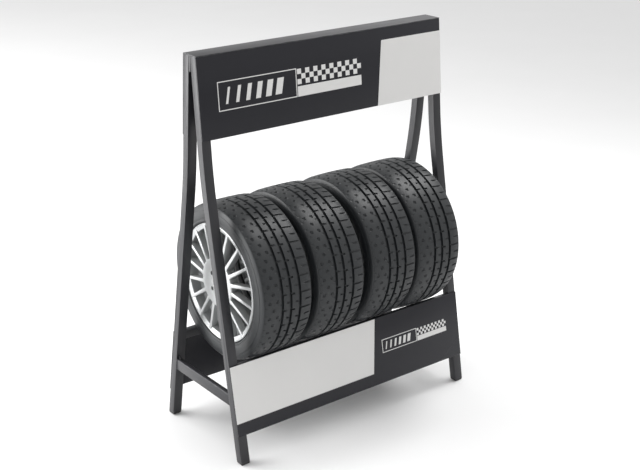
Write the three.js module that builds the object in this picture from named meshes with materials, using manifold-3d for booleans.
// Free-standing display and storage rack for four wheels: two A-shaped end frames of bent square tube, joined by
// a ridge and two cradle rails that carry the tyres, with boards on the upper and lower faces.
// Millimetres, +X along the ridge, -Y the front, +Z up, origin on the floor under the rack's centre.
import * as THREE from "three";
import { mergeVertices } from "three/addons/utils/BufferGeometryUtils.js";
import Module from "manifold-3d";

const wasm = await Module();
wasm.setup();

const degrees = THREE.MathUtils.degToRad;

// Overall sizes and fits
const HEIGHT = 1600; // floor to the top of the ridge cap
const FOOT_SPREAD = 551; // over the legs' outer faces at the floor
const FIT_GAP = 0.3; // between two pieces that touch
const REACH_PAST = 1; // of a cutting solid past what it cuts, and of a joined one into its partner

// Legs: square tube, straight above and below one gentle bend
const LEG_WIDTH = 40; // along X
const LEG_DEPTH = 33; // across the tube, in the plane of the end frame
const LEG_WALL = 2.5;
const UPPER_LEAN = degrees(4.75); // of the stretch above the bend, from upright
const BEND_BELOW_TOP = 476;
const BEND_RADIUS = 2400;
const BEND_STEPS = 5;

// Feet: moulded caps plugged into the tubes
const SOLE_HEIGHT = 12;
const SOLE_ROUND = 7;
const PLUG_LENGTH = 22;

// Ridge: a flat bar between the legs, under a cap plate
const CAP_THICKNESS = 4;
const RIDGE_BAR_THICKNESS = 9;
const RIDGE_BAR_HEIGHT = 60;
const RIDGE_BOLT_BELOW_CAP = 34;

// Crossbars: flat tube that ties the two legs of an end frame
const CROSSBAR_WIDTH = 20; // along X
const CROSSBAR_HEIGHT = 48;
const CROSSBAR_BOTTOM = 237;
const CROSSBAR_INSET = 2; // behind the legs' outer sides
const CROSSBAR_WALL = 2;
const GUSSET_LEG = 18;
const GUSSET_THICKNESS = 5;

// Boards
const BOARD_THICKNESS = 5;
const UPPER_BOARD_HEIGHT = 313; // below the cap plate
const LOWER_BOARD_BOTTOM = 122.5;
const LOWER_BOARD_TOP = 408;

// Light vinyl plates on the front boards, each with one slanted edge
const VINYL_THICKNESS = 1;
const UPPER_VINYL_BELOW_CAP = 49;
const UPPER_VINYL_TOP_LENGTH = 322; // from the right end
const UPPER_VINYL_BOTTOM_LENGTH = 351;
const LOWER_VINYL_TOP_LENGTH = 731; // from the left end
const LOWER_VINYL_BOTTOM_LENGTH = 698.5;
const LOWER_VINYL_ABOVE_EDGE = 53.5;

// Cradle rails: rectangular tube behind the lower boards, flush with their top edges
const RAIL_DEPTH = 18;
const RAIL_HEIGHT = 40;
const RAIL_WALL = 2;
const RAIL_PLUG_LENGTH = 24;

// Screws
const SCREW_RADIUS = 4;
const SCREW_HEAD_RADIUS = 8;
const SCREW_HEAD_DEPTH = 4;
const SCREW_SIDES = 12;
const SCREW_CLEARANCE = 0.3;

// Wheels
const TYRE_RADIUS = 324;
const TYRE_WIDTH = 242;
const TYRE_WALL = 10;
const TREAD_THICKNESS = 13;
const BEAD_CLEARANCE = 1; // of the tyre off the inside and the edge of the rim's flange
const TREAD_EDGE = 15; // from the sidewall's bulge in to the edge of the tread
const TREAD_FLAT = 60; // from the sidewall's bulge in to the flat of the tread
const TREAD_DROP = 5; // of the edge of the tread below its flat
const BULGE_AT = 0.37; // share of the sidewall's height at which the tyre is widest
const UPPER_WALL_AT = 0.68; // share at which the sidewall turns in towards the tread
const UPPER_WALL_INSET = 3;
const LEFT_SPACE = 45.5; // between the left legs and the first tyre
const TYRE_SPACES = [21, 33, 6]; // between one tyre and the next, as the wheels were set down
const RIGHT_SPACE = 46.5; // between the last tyre and the right legs
const SEAT_RADIUS = 228.6; // of the rim's bead seats, an 18-inch wheel
const RIM_WIDTH = 230; // over the two flanges
const FLANGE_HEIGHT = 15.4; // above the bead seats
const FLANGE_THICKNESS = 7;
const LIP_THICKNESS = 5; // of the flange's outer edge, seen from the side of the wheel
const RIM_WALL = 7;
const RIM_WELL_DEPTH = 23;
const FRONT_SEAT_WIDTH = 48; // from the front flange to the slope down to the well
const WELL_SLOPE = 20;
const REAR_SEAT_WIDTH = 40;
const SPOKE_COUNT = 18;
const SPOKE_DEPTH = 30;
const SPOKE_ROOT_WIDTH = 16;
const SPOKE_TIP_WIDTH = 12;
const SPOKE_RECESS = 1.5; // of the spokes' faces behind the rim's outer edge
const SPOKE_MERGE = 8; // of each spoke's root into the hub
const HUB_RADIUS = 103;
const HUB_BORE_RADIUS = 32;
const HUB_DEPTH = 46;
const HUB_PROUD = 6; // of the hub's face in front of the rim's outer edge
const CENTRE_CAP_DEPTH = 14;
const CENTRE_CAP_RISE = 2; // of its flat middle in front of the hub's face
const CENTRE_CAP_SLOPE = 4; // from its edge in to the flat
const WHEEL_TURN = degrees(-2.3); // of the first spoke from upright, towards the front
const VALVE_RADIUS = 4;
const VALVE_LENGTH = 38;
const VALVE_BEHIND_FLANGE = 32;
const VALVE_SIDES = 8;
const WHEEL_SIDES = 36; // sides of each turned wheel piece, twice the spokes

// Worked out from the sizes above
const WHEEL_COUNT = TYRE_SPACES.length + 1;
const PACK_LENGTH = WHEEL_COUNT * TYRE_WIDTH + sum(TYRE_SPACES);
const INNER_WIDTH = LEFT_SPACE + PACK_LENGTH + RIGHT_SPACE; // between the end frames
const WIDTH = INNER_WIDTH + 2 * LEG_WIDTH;
const LEG_TOP = HEIGHT - CAP_THICKNESS - FIT_GAP;
const BEND_HEIGHT = HEIGHT - BEND_BELOW_TOP;
const TOP_HALF_DEPTH =
  RIDGE_BAR_THICKNESS / 2 + FIT_GAP + LEG_DEPTH / Math.cos(UPPER_LEAN);
const BEND_HALF_DEPTH =
  TOP_HALF_DEPTH + Math.tan(UPPER_LEAN) * (LEG_TOP - BEND_HEIGHT);
const LOWER_LEAN = Math.atan((FOOT_SPREAD / 2 - BEND_HALF_DEPTH) / BEND_HEIGHT);
const UPPER_BOARD_TOP = LEG_TOP;
const UPPER_BOARD_BOTTOM = UPPER_BOARD_TOP - UPPER_BOARD_HEIGHT;

function sum(lengths) {
  return lengths.reduce((a, b) => a + b, 0);
}

// Half depth, at height z, of a face that lies `depth` inside the legs' outer face, on the straight stretch of
// the given lean.
function halfDepth(depth, z, lean) {
  return (
    BEND_HALF_DEPTH - Math.tan(lean) * (z - BEND_HEIGHT) - depth / Math.cos(lean)
  );
}

// The same face as a line of [half depth, height] points from the foot to the top, round the bend.
function faceLine(depth, bottom, top) {
  const middle = (LOWER_LEAN + UPPER_LEAN) / 2;
  const turn = LOWER_LEAN - UPPER_LEAN;
  const reach = BEND_RADIUS / Math.cos(turn / 2);
  const centre = [
    BEND_HALF_DEPTH + reach * Math.cos(middle),
    BEND_HEIGHT + reach * Math.sin(middle),
  ];
  const line = [[halfDepth(depth, bottom, LOWER_LEAN), bottom]];
  for (let i = 0; i <= BEND_STEPS; i++) {
    const lean = LOWER_LEAN - (turn * i) / BEND_STEPS;
    line.push([
      centre[0] - (BEND_RADIUS + depth) * Math.cos(lean),
      centre[1] - (BEND_RADIUS + depth) * Math.sin(lean),
    ]);
  }
  line.push([halfDepth(depth, top, UPPER_LEAN), top]);
  return line;
}

// Solids ------------------------------------------------------------------------------------------------------

function toSolid(geometry) {
  const bare = geometry.clone();
  bare.deleteAttribute("normal");
  bare.deleteAttribute("uv");
  const merged = mergeVertices(bare, 1e-3);
  const numVertices = merged.attributes.position.count;
  const triVerts = merged.index
    ? new Uint32Array(merged.index.array)
    : Uint32Array.from({ length: numVertices }, (_, i) => i);
  return new wasm.Manifold(
    new wasm.Mesh({
      numProp: 3,
      vertProperties: merged.attributes.position.array,
      triVerts,
    }),
  );
}

function toGeometry(solid) {
  const mesh = solid.getMesh();
  const positions = new Float32Array(mesh.numVert * 3);
  for (let i = 0; i < mesh.numVert; i++) {
    const from = i * mesh.numProp;
    positions.set(mesh.vertProperties.subarray(from, from + 3), i * 3);
  }
  const geometry = new THREE.BufferGeometry();
  geometry.setAttribute("position", new THREE.BufferAttribute(positions, 3));
  geometry.setIndex(new THREE.BufferAttribute(mesh.triVerts, 1));
  return geometry;
}

function join(...geometries) {
  return toGeometry(geometries.map(toSolid).reduce((a, b) => a.add(b)));
}

function cut(geometry, ...tools) {
  const start = toSolid(geometry);
  return toGeometry(tools.map(toSolid).reduce((a, b) => a.subtract(b), start));
}

function common(a, b) {
  return toGeometry(toSolid(a).intersect(toSolid(b)));
}

function polygon(points) {
  return new THREE.Shape(points.map(([u, v]) => new THREE.Vector2(u, v)));
}

// A side profile in the (Y, Z) plane, extruded along X from x0 to x1.
function alongX(points, x0, x1) {
  const geometry = new THREE.ExtrudeGeometry(polygon(points), {
    depth: x1 - x0,
    bevelEnabled: false,
  });
  const turned = new THREE.Matrix4().makeBasis(
    new THREE.Vector3(0, 1, 0),
    new THREE.Vector3(0, 0, 1),
    new THREE.Vector3(1, 0, 0),
  );
  return geometry.applyMatrix4(turned).translate(x0, 0, 0);
}

// A front profile in the (X, Z) plane, extruded along Y from y0 to y1.
function alongY(points, y0, y1) {
  const geometry = new THREE.ExtrudeGeometry(polygon(points), {
    depth: y1 - y0,
    bevelEnabled: false,
  });
  return geometry.rotateX(Math.PI / 2).translate(0, y1, 0);
}

function rectangle(u0, u1, v0, v1) {
  return [
    [u0, v0],
    [u1, v0],
    [u1, v1],
    [u0, v1],
  ];
}

// A rectangle whose two lower corners are rounded.
function roundedBelow(u0, u1, v0, v1, radius) {
  const steps = 3;
  const points = [
    [u1, v1],
    [u0, v1],
  ];
  for (const [centre, start] of [
    [u0 + radius, Math.PI],
    [u1 - radius, 1.5 * Math.PI],
  ]) {
    for (let i = 0; i <= steps; i++) {
      const angle = start + ((Math.PI / 2) * i) / steps;
      points.push([
        centre + radius * Math.cos(angle),
        v0 + radius + radius * Math.sin(angle),
      ]);
    }
  }
  return points;
}

// A profile of [axial, radius] points turned about the X axis.
function aroundX(profile, sides, closed = false) {
  const points = profile.map(([x, r]) => new THREE.Vector2(r, x));
  if (closed) points.push(points[0].clone());
  return new THREE.LatheGeometry(points, sides).rotateZ(-Math.PI / 2);
}

// Mirrors a rear piece (half depths positive) to the front for side -1.
function onSide(points, side) {
  return points.map(([y, z]) => [side * y, z]);
}

// Materials and placing ---------------------------------------------------------------------------------------

const FINISHES = {
  powderCoat: { color: 0x2e2e31, roughness: 0.45, metalness: 0.1 },
  darkBoard: { color: 0x232326, roughness: 0.3, metalness: 0.0 },
  lightVinyl: { color: 0xd6d4d1, roughness: 0.4, metalness: 0.0 },
  footPlastic: { color: 0x262626, roughness: 0.7, metalness: 0.0 },
  blackScrew: { color: 0x1e1e20, roughness: 0.35, metalness: 0.8 },
  tyreRubber: { color: 0x2b2e30, roughness: 0.85, metalness: 0.0 },
  silverRim: { color: 0xbfc1c3, roughness: 0.3, metalness: 0.9 },
  centreCap: { color: 0x8e9092, roughness: 0.35, metalness: 0.6 },
};

function piece(parent, name, geometry, finish) {
  const flat = geometry.index ? geometry.toNonIndexed() : geometry;
  flat.computeVertexNormals();
  const mesh = new THREE.Mesh(
    flat,
    new THREE.MeshStandardMaterial(FINISHES[finish]),
  );
  mesh.name = name;
  parent.add(mesh);
  return mesh;
}

const SIDES = { front: -1, rear: 1 };
const ENDS = { left: -1, right: 1 };

// The [low, high] X span of a leg.
function legSpan(end) {
  const outer = WIDTH / 2;
  return end < 0 ? [-outer, LEG_WIDTH - outer] : [outer - LEG_WIDTH, outer];
}

// Screws ------------------------------------------------------------------------------------------------------

// Countersunk screw along +X with its head's flat face at x = 0.
function screwShape(length, extra = 0) {
  const head = SCREW_HEAD_RADIUS + extra;
  const shank = SCREW_RADIUS + extra;
  return aroundX(
    [
      [-extra, 0],
      [-extra, head],
      [0, head],
      [SCREW_HEAD_DEPTH, shank],
      [length + extra, shank],
      [length + extra, 0],
    ],
    SCREW_SIDES,
  );
}

// Double-headed sleeve bolt along Y, centred on y = 0.
function ridgeBoltShape(extra = 0) {
  const half = ridgeBoltHalfLength();
  const head = SCREW_HEAD_RADIUS + extra;
  const shank = SCREW_RADIUS + extra;
  return aroundX(
    [
      [-half - extra, 0],
      [-half - extra, head],
      [-half, head],
      [SCREW_HEAD_DEPTH - half, shank],
      [half - SCREW_HEAD_DEPTH, shank],
      [half, head],
      [half + extra, head],
      [half + extra, 0],
    ],
    SCREW_SIDES,
  ).rotateZ(Math.PI / 2);
}

function ridgeBoltHeight() {
  return LEG_TOP - RIDGE_BOLT_BELOW_CAP;
}

// The heads end inside the leaning outer faces, over their whole diameter.
function ridgeBoltHalfLength() {
  const highest = ridgeBoltHeight() + SCREW_HEAD_RADIUS + SCREW_CLEARANCE;
  return halfDepth(SCREW_CLEARANCE, highest, UPPER_LEAN);
}

function railScrewPlace(end, side) {
  const [low, high] = legSpan(end);
  const [y, z] = railCentre();
  return new THREE.Matrix4()
    .makeTranslation(end < 0 ? low : high, side * y, z)
    .multiply(new THREE.Matrix4().makeRotationZ(end < 0 ? 0 : Math.PI));
}

function railScrewLength() {
  return LEG_WIDTH + RAIL_PLUG_LENGTH;
}

// Cradle rails ------------------------------------------------------------------------------------------------

// A rail's section as [half depth, height] points, `inset` inside its own outline.
function railSection(inset) {
  const lean = LOWER_LEAN;
  const corner = [halfDepth(0, LOWER_BOARD_TOP, lean), LOWER_BOARD_TOP];
  const inward = [-Math.cos(lean), -Math.sin(lean)];
  const down = [Math.sin(lean), -Math.cos(lean)];
  const at = (across, along) => [
    corner[0] + across * inward[0] + along * down[0],
    corner[1] + across * inward[1] + along * down[1],
  ];
  return [
    at(inset, inset),
    at(RAIL_DEPTH - inset, inset),
    at(RAIL_DEPTH - inset, RAIL_HEIGHT - inset),
    at(inset, RAIL_HEIGHT - inset),
  ];
}

function railCentre() {
  const [a, , c] = railSection(0);
  return [(a[0] + c[0]) / 2, (a[1] + c[1]) / 2];
}

// Where the wheels rest: the centre height at which a tyre just clears the rails' inner top edges.
function wheelCentreHeight() {
  const [y, z] = railSection(0)[1];
  const reach = TYRE_RADIUS + FIT_GAP;
  return z + Math.sqrt(reach * reach - y * y);
}

function addRails(rack) {
  const half = INNER_WIDTH / 2 - FIT_GAP;
  for (const [word, side] of Object.entries(SIDES)) {
    const outline = onSide(railSection(0), side);
    const hollow = onSide(railSection(RAIL_WALL), side);
    const tube = cut(
      alongX(outline, -half, half),
      alongX(hollow, -half - REACH_PAST, half + REACH_PAST),
    );
    piece(rack, `${word}_rail`, tube, "powderCoat");
    for (const [endWord, end] of Object.entries(ENDS)) {
      const from = end < 0 ? -half : half - RAIL_PLUG_LENGTH;
      const block = alongX(
        onSide(railSection(RAIL_WALL + FIT_GAP), side),
        from,
        from + RAIL_PLUG_LENGTH,
      );
      const place = railScrewPlace(end, side);
      const hole = screwShape(2 * railScrewLength(), SCREW_CLEARANCE);
      piece(
        rack,
        `${word}_rail_${endWord}_plug`,
        cut(block, hole.applyMatrix4(place)),
        "footPlastic",
      );
      piece(
        rack,
        `${word}_rail_${endWord}_screw`,
        screwShape(railScrewLength()).applyMatrix4(place),
        "blackScrew",
      );
    }
  }
}

// End frames --------------------------------------------------------------------------------------------------

function addLeg(rack, endWord, end, sideWord, side) {
  const [low, high] = legSpan(end);
  const tube = (inset, bottom, top) => [
    ...faceLine(inset, bottom, top),
    ...faceLine(LEG_DEPTH - inset, bottom, top).reverse(),
  ];
  const outside = alongX(onSide(tube(0, SOLE_HEIGHT, LEG_TOP), side), low, high);
  const hollow = alongX(
    onSide(
      tube(LEG_WALL, SOLE_HEIGHT - REACH_PAST, LEG_TOP + REACH_PAST),
      side,
    ),
    low + LEG_WALL,
    high - LEG_WALL,
  );
  const railHole = screwShape(2 * railScrewLength(), SCREW_CLEARANCE);
  const ridgeHole = ridgeBoltShape(SCREW_CLEARANCE).translate(
    (low + high) / 2,
    0,
    ridgeBoltHeight(),
  );
  const leg = cut(
    outside,
    hollow,
    railHole.applyMatrix4(railScrewPlace(end, side)),
    ridgeHole,
  );
  piece(rack, `${sideWord}_${endWord}_leg`, leg, "powderCoat");
}

function addFoot(rack, endWord, end, sideWord, side) {
  const [low, high] = legSpan(end);
  const top = SOLE_HEIGHT - FIT_GAP;
  const outer = halfDepth(0, top, LOWER_LEAN);
  const inner = halfDepth(LEG_DEPTH, top, LOWER_LEAN);
  const slide = Math.tan(LOWER_LEAN);
  const side2d = roundedBelow(inner, outer, 0, top, SOLE_ROUND).map(([y, z]) => [
    y + slide * (top - z),
    z,
  ]);
  const sole = common(
    alongX(onSide(side2d, side), low, high),
    alongY(
      roundedBelow(low, high, 0, top, SOLE_ROUND),
      -FOOT_SPREAD,
      FOOT_SPREAD,
    ),
  );
  const inset = LEG_WALL + FIT_GAP;
  const plugBottom = top - REACH_PAST;
  const plugTop = SOLE_HEIGHT + PLUG_LENGTH;
  const plug = alongX(
    onSide(
      [
        [halfDepth(inset, plugBottom, LOWER_LEAN), plugBottom],
        [halfDepth(inset, plugTop, LOWER_LEAN), plugTop],
        [halfDepth(LEG_DEPTH - inset, plugTop, LOWER_LEAN), plugTop],
        [halfDepth(LEG_DEPTH - inset, plugBottom, LOWER_LEAN), plugBottom],
      ],
      side,
    ),
    low + inset,
    high - inset,
  );
  piece(rack, `${sideWord}_${endWord}_foot`, join(sole, plug), "footPlastic");
}

function addCrossbar(rack, endWord, end) {
  const outer = (WIDTH / 2 - CROSSBAR_INSET) * end;
  const low = Math.min(outer, outer - end * CROSSBAR_WIDTH);
  const section = (inset, past) => {
    const bottom = CROSSBAR_BOTTOM + inset;
    const top = CROSSBAR_BOTTOM + CROSSBAR_HEIGHT - inset;
    const reach = (z) => halfDepth(LEG_DEPTH + FIT_GAP, z, LOWER_LEAN) + past;
    return [
      [-reach(bottom), bottom],
      [reach(bottom), bottom],
      [reach(top), top],
      [-reach(top), top],
    ];
  };
  const tube = cut(
    alongX(section(0, 0), low, low + CROSSBAR_WIDTH),
    alongX(
      section(CROSSBAR_WALL, REACH_PAST),
      low + CROSSBAR_WALL,
      low + CROSSBAR_WIDTH - CROSSBAR_WALL,
    ),
  );
  piece(rack, `${endWord}_crossbar`, tube, "powderCoat");
}

// Triangular gusset in the corner between a crossbar's top and a leg.
function addGusset(rack, endWord, end, sideWord, side) {
  const middle = (WIDTH / 2 - CROSSBAR_INSET - CROSSBAR_WIDTH / 2) * end;
  const base = CROSSBAR_BOTTOM + CROSSBAR_HEIGHT + FIT_GAP;
  const top = base + GUSSET_LEG;
  const reach = (z) => halfDepth(LEG_DEPTH + FIT_GAP, z, LOWER_LEAN);
  const corner = [
    [reach(base), base],
    [reach(top), top],
    [reach(base) - GUSSET_LEG, base],
  ];
  const plate = alongX(
    onSide(corner, side),
    middle - GUSSET_THICKNESS / 2,
    middle + GUSSET_THICKNESS / 2,
  );
  piece(rack, `${sideWord}_${endWord}_gusset`, plate, "powderCoat");
}

function addEndFrames(rack) {
  for (const [endWord, end] of Object.entries(ENDS)) {
    for (const [sideWord, side] of Object.entries(SIDES)) {
      addLeg(rack, endWord, end, sideWord, side);
      addFoot(rack, endWord, end, sideWord, side);
      addGusset(rack, endWord, end, sideWord, side);
    }
    addCrossbar(rack, endWord, end);
  }
}

// Ridge -------------------------------------------------------------------------------------------------------

function addRidge(rack) {
  const boardFace = FIT_GAP + BOARD_THICKNESS;
  const capHalf = halfDepth(-boardFace, LEG_TOP, UPPER_LEAN);
  const half = WIDTH / 2;
  const cap = alongX(
    rectangle(-capHalf, capHalf, HEIGHT - CAP_THICKNESS, HEIGHT),
    -half,
    half,
  );
  piece(rack, "ridge_cap", cap, "powderCoat");
  const bolts = Object.entries(ENDS).map(([word, end]) => {
    const [low, high] = legSpan(end);
    return { word, x: (low + high) / 2 };
  });
  const bar = cut(
    alongX(
      rectangle(
        -RIDGE_BAR_THICKNESS / 2,
        RIDGE_BAR_THICKNESS / 2,
        LEG_TOP - RIDGE_BAR_HEIGHT,
        LEG_TOP,
      ),
      -half,
      half,
    ),
    ...bolts.map(({ x }) =>
      ridgeBoltShape(SCREW_CLEARANCE).translate(x, 0, ridgeBoltHeight()),
    ),
  );
  piece(rack, "ridge_bar", bar, "powderCoat");
  for (const { word, x } of bolts) {
    const bolt = ridgeBoltShape().translate(x, 0, ridgeBoltHeight());
    piece(rack, `${word}_ridge_bolt`, bolt, "blackScrew");
  }
}

// Boards ------------------------------------------------------------------------------------------------------

// A flat plate on the legs' outer faces: its outline is given in (X, Z), and it lies `out` in front of them.
function leaningPlate(outline, out, thickness, lean, side) {
  const foot = halfDepth(-out, 0, lean);
  const deep = thickness / Math.cos(lean);
  const plate = alongY(outline, foot, foot + deep);
  const shear = new THREE.Matrix4().makeShear(0, 0, 0, 0, 0, -Math.tan(lean));
  plate.applyMatrix4(shear);
  return side < 0 ? mirrorFrontToBack(plate) : plate;
}

function mirrorFrontToBack(geometry) {
  const mirrored = geometry.index ? geometry.toNonIndexed() : geometry.clone();
  const place = mirrored.attributes.position;
  for (let i = 0; i < place.count; i += 3) {
    for (let k = 0; k < 3; k++) place.setY(i + k, -place.getY(i + k));
    const second = [place.getX(i + 1), place.getY(i + 1), place.getZ(i + 1)];
    place.copyAt(i + 1, place, i + 2);
    place.setXYZ(i + 2, ...second);
  }
  return mirrored;
}

function addBoards(rack) {
  const half = WIDTH / 2;
  const upper = rectangle(-half, half, UPPER_BOARD_BOTTOM, UPPER_BOARD_TOP);
  const lower = rectangle(-half, half, LOWER_BOARD_BOTTOM, LOWER_BOARD_TOP);
  for (const [word, side] of Object.entries(SIDES)) {
    const board = (outline, lean) =>
      leaningPlate(outline, FIT_GAP, BOARD_THICKNESS, lean, side);
    piece(rack, `upper_${word}_board`, board(upper, UPPER_LEAN), "darkBoard");
    piece(rack, `lower_${word}_board`, board(lower, LOWER_LEAN), "darkBoard");
  }
}

function addVinyl(rack) {
  const half = WIDTH / 2;
  const onBoard = FIT_GAP + BOARD_THICKNESS + FIT_GAP;
  const upperTop = UPPER_BOARD_TOP - UPPER_VINYL_BELOW_CAP;
  const upper = [
    [half - UPPER_VINYL_BOTTOM_LENGTH, UPPER_BOARD_BOTTOM],
    [half, UPPER_BOARD_BOTTOM],
    [half, upperTop],
    [half - UPPER_VINYL_TOP_LENGTH, upperTop],
  ];
  const lowerBottom = LOWER_BOARD_BOTTOM + LOWER_VINYL_ABOVE_EDGE;
  const lower = [
    [-half, lowerBottom],
    [LOWER_VINYL_BOTTOM_LENGTH - half, lowerBottom],
    [LOWER_VINYL_TOP_LENGTH - half, LOWER_BOARD_TOP],
    [-half, LOWER_BOARD_TOP],
  ];
  const vinyl = (outline, lean) =>
    leaningPlate(outline, onBoard, VINYL_THICKNESS, lean, SIDES.front);
  piece(rack, "upper_vinyl_field", vinyl(upper, UPPER_LEAN), "lightVinyl");
  piece(rack, "lower_vinyl_field", vinyl(lower, LOWER_LEAN), "lightVinyl");
}

// Wheels, each modelled about the X axis with its outer face towards -X ---------------------------------------

function mirrored(half) {
  return [...half, ...half.map(([x, r]) => [-x, r]).reverse()];
}

function tyreShape() {
  const flange = SEAT_RADIUS + FLANGE_HEIGHT;
  const bead = RIM_WIDTH / 2 - FLANGE_THICKNESS - FIT_GAP - BEAD_CLEARANCE;
  const bulge = TYRE_WIDTH / 2;
  const height = TYRE_RADIUS - flange;
  const outside = mirrored([
    [-bead, SEAT_RADIUS + 2 * FIT_GAP],
    [-bead, flange + BEAD_CLEARANCE],
    [-bulge, flange + BULGE_AT * height],
    [-bulge + UPPER_WALL_INSET, flange + UPPER_WALL_AT * height],
    [-bulge + TREAD_EDGE, TYRE_RADIUS - TREAD_DROP],
    [-bulge + TREAD_FLAT, TYRE_RADIUS],
  ]);
  const inside = mirrored([
    [-bead + TYRE_WALL, SEAT_RADIUS + 2 * FIT_GAP],
    [-bulge + TYRE_WALL, flange + BULGE_AT * height],
    [-bulge + TYRE_WALL + TREAD_EDGE, TYRE_RADIUS - TREAD_THICKNESS],
  ]);
  return aroundX([...outside, ...inside.reverse()], WHEEL_SIDES, true);
}

function barrelShape() {
  const flange = SEAT_RADIUS + FLANGE_HEIGHT;
  const edge = RIM_WIDTH / 2;
  const well = SEAT_RADIUS - RIM_WELL_DEPTH;
  const outside = [
    [-edge, flange],
    [FLANGE_THICKNESS - edge, flange],
    [FLANGE_THICKNESS - edge, SEAT_RADIUS],
    [FRONT_SEAT_WIDTH - edge, SEAT_RADIUS],
    [FRONT_SEAT_WIDTH + WELL_SLOPE - edge, well],
    [edge - REAR_SEAT_WIDTH, SEAT_RADIUS],
    [edge - FLANGE_THICKNESS, SEAT_RADIUS],
    [edge - FLANGE_THICKNESS, flange],
    [edge, flange],
  ];
  const inside = [
    [-edge, flange - LIP_THICKNESS],
    [FLANGE_THICKNESS - edge, SEAT_RADIUS - RIM_WALL],
    [FRONT_SEAT_WIDTH - edge, SEAT_RADIUS - RIM_WALL],
    [FRONT_SEAT_WIDTH + WELL_SLOPE - edge, well - RIM_WALL],
    [edge - REAR_SEAT_WIDTH, SEAT_RADIUS - RIM_WALL],
    [edge - FLANGE_THICKNESS, SEAT_RADIUS - RIM_WALL],
    [edge, flange - LIP_THICKNESS],
  ];
  return aroundX([...outside, ...inside.reverse()], WHEEL_SIDES, true);
}

function hubShape() {
  const face = -HUB_PROUD - RIM_WIDTH / 2;
  return aroundX(
    [
      [face, HUB_BORE_RADIUS],
      [face, HUB_RADIUS],
      [face + HUB_DEPTH, HUB_RADIUS],
      [face + HUB_DEPTH, HUB_BORE_RADIUS],
    ],
    WHEEL_SIDES,
    true,
  );
}

// The space inside the barrel's front wall, which the spokes reach out to.
function spokeRoom() {
  const flange = SEAT_RADIUS + FLANGE_HEIGHT;
  const edge = RIM_WIDTH / 2 + FIT_GAP;
  const wall = SEAT_RADIUS - RIM_WALL - FIT_GAP;
  return aroundX(
    [
      [-edge, 0],
      [-edge, flange - LIP_THICKNESS - FIT_GAP],
      [FLANGE_THICKNESS - edge, wall],
      [FRONT_SEAT_WIDTH - edge, wall],
      [FRONT_SEAT_WIDTH - edge, 0],
    ],
    WHEEL_SIDES,
  );
}

// One spoke along +Z, from inside the hub out past the rim's lip.
function spokeShape() {
  const root = HUB_RADIUS - SPOKE_MERGE;
  const tip = SEAT_RADIUS + FLANGE_HEIGHT;
  const plan = [
    [-SPOKE_ROOT_WIDTH / 2, root],
    [SPOKE_ROOT_WIDTH / 2, root],
    [SPOKE_TIP_WIDTH / 2, tip],
    [-SPOKE_TIP_WIDTH / 2, tip],
  ];
  const face = SPOKE_RECESS - RIM_WIDTH / 2;
  return alongX(plan, face, face + SPOKE_DEPTH);
}

function valvePlace() {
  return {
    x: FLANGE_THICKNESS + VALVE_BEHIND_FLANGE - RIM_WIDTH / 2,
    radius: SEAT_RADIUS - RIM_WALL - VALVE_LENGTH,
    angle: Math.PI / SPOKE_COUNT,
  };
}

// The tyre valve: a stem that points at the wheel's axis, in a hole through the barrel between two spokes.
function valveShape(extra) {
  const { x, radius, angle } = valvePlace();
  const stem = new THREE.CylinderGeometry(
    VALVE_RADIUS + extra,
    VALVE_RADIUS + extra,
    VALVE_LENGTH + 2 * RIM_WALL,
    VALVE_SIDES,
  );
  stem.rotateX(Math.PI / 2).translate(x, 0, radius + VALVE_LENGTH / 2 + RIM_WALL);
  return stem.rotateX(angle);
}

function rimShape() {
  return cut(barrelShape(), valveShape(FIT_GAP));
}

// The hub and spokes, which a wheel cast in one piece carries inside its rim.
function spokesShape() {
  const spokes = Array.from({ length: SPOKE_COUNT }, (_, i) =>
    spokeShape().rotateX((2 * Math.PI * i) / SPOKE_COUNT),
  );
  return join(hubShape(), common(join(...spokes), spokeRoom()));
}

function centreCapShape() {
  const face = -HUB_PROUD - RIM_WIDTH / 2;
  const radius = HUB_BORE_RADIUS - FIT_GAP;
  return aroundX(
    [
      [face - CENTRE_CAP_RISE, 0],
      [face - CENTRE_CAP_RISE, radius - CENTRE_CAP_SLOPE],
      [face, radius],
      [face + CENTRE_CAP_DEPTH, radius],
      [face + CENTRE_CAP_DEPTH, 0],
    ],
    WHEEL_SIDES,
  );
}

function addWheels(rack) {
  const height = wheelCentreHeight();
  for (let i = 0; i < WHEEL_COUNT; i++) {
    const group = new THREE.Group();
    const before = i * TYRE_WIDTH + sum(TYRE_SPACES.slice(0, i));
    const left = LEFT_SPACE + before - INNER_WIDTH / 2;
    group.position.set(left + TYRE_WIDTH / 2, 0, height);
    group.rotation.x = WHEEL_TURN;
    rack.add(group);
    const name = (word) => `wheel_${i + 1}_${word}`;
    piece(group, name("tyre"), tyreShape(), "tyreRubber");
    piece(group, name("rim"), rimShape(), "silverRim");
    piece(group, name("spokes"), spokesShape(), "silverRim");
    piece(group, name("valve"), valveShape(0), "blackScrew");
    piece(group, name("centre_cap"), centreCapShape(), "centreCap");
  }
}

const rack = new THREE.Group();
addEndFrames(rack);
addRidge(rack);
addRails(rack);
addBoards(rack);
addVinyl(rack);
addWheels(rack);

export default rack;
